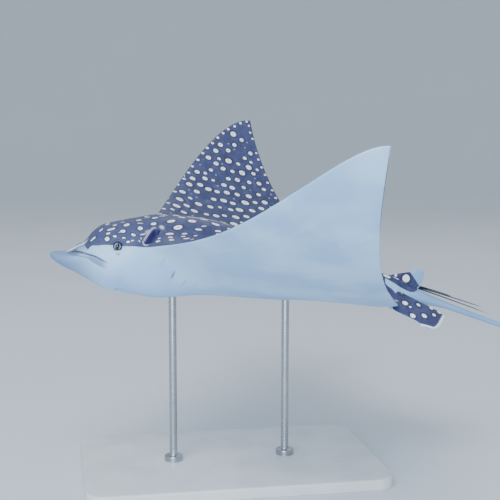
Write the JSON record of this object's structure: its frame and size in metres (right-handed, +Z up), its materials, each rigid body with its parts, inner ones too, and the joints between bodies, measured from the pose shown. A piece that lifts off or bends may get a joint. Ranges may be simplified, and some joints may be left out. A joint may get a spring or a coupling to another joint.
{
  "type": "spotted eagle ray",
  "caption": "Life-size still model of a spotted eagle ray gliding with raised wings, long whip tail, held up by rods on a flat base.",
  "frame": {"origin": "middle of the underside of the stand's base, on the floor", "axes": "+X back along the animal towards the tail, head towards -X; +Y to the animal's right; +Z up"},
  "size_m": [3.2983, 1.1973, 0.7344],
  "materials": {
    "ray_skin": "smooth wet skin, slate blue-grey with white spots above, milk white below",
    "eye": "glossy wet eye, dark pupil in a pale iris",
    "sting": "dark indigo-grey bony spines with fine barbs",
    "stand_board": "satin near-white lacquered board",
    "stand_steel": "brushed"
  },
  "bodies": {
    "root": {"rostral_lobe": "ray_skin", "head": "ray_skin", "trunk": "ray_skin", "left_wing": "ray_skin", "right_wing": "ray_skin", "left_pelvic_fin": "ray_skin", "right_pelvic_fin": "ray_skin", "dorsal_fin": "ray_skin", "tail_1": "ray_skin", "tail_2": "ray_skin", "tail_3": "ray_skin", "tail_4": "ray_skin", "left_eye": "eye", "right_eye": "eye", "sting_long": "sting", "sting_middle": "sting", "sting_short": "sting", "stand_base": "stand_board", "stand_rod_front": "stand_steel", "stand_rod_rear": "stand_steel"}
  },
  "joints": []
}
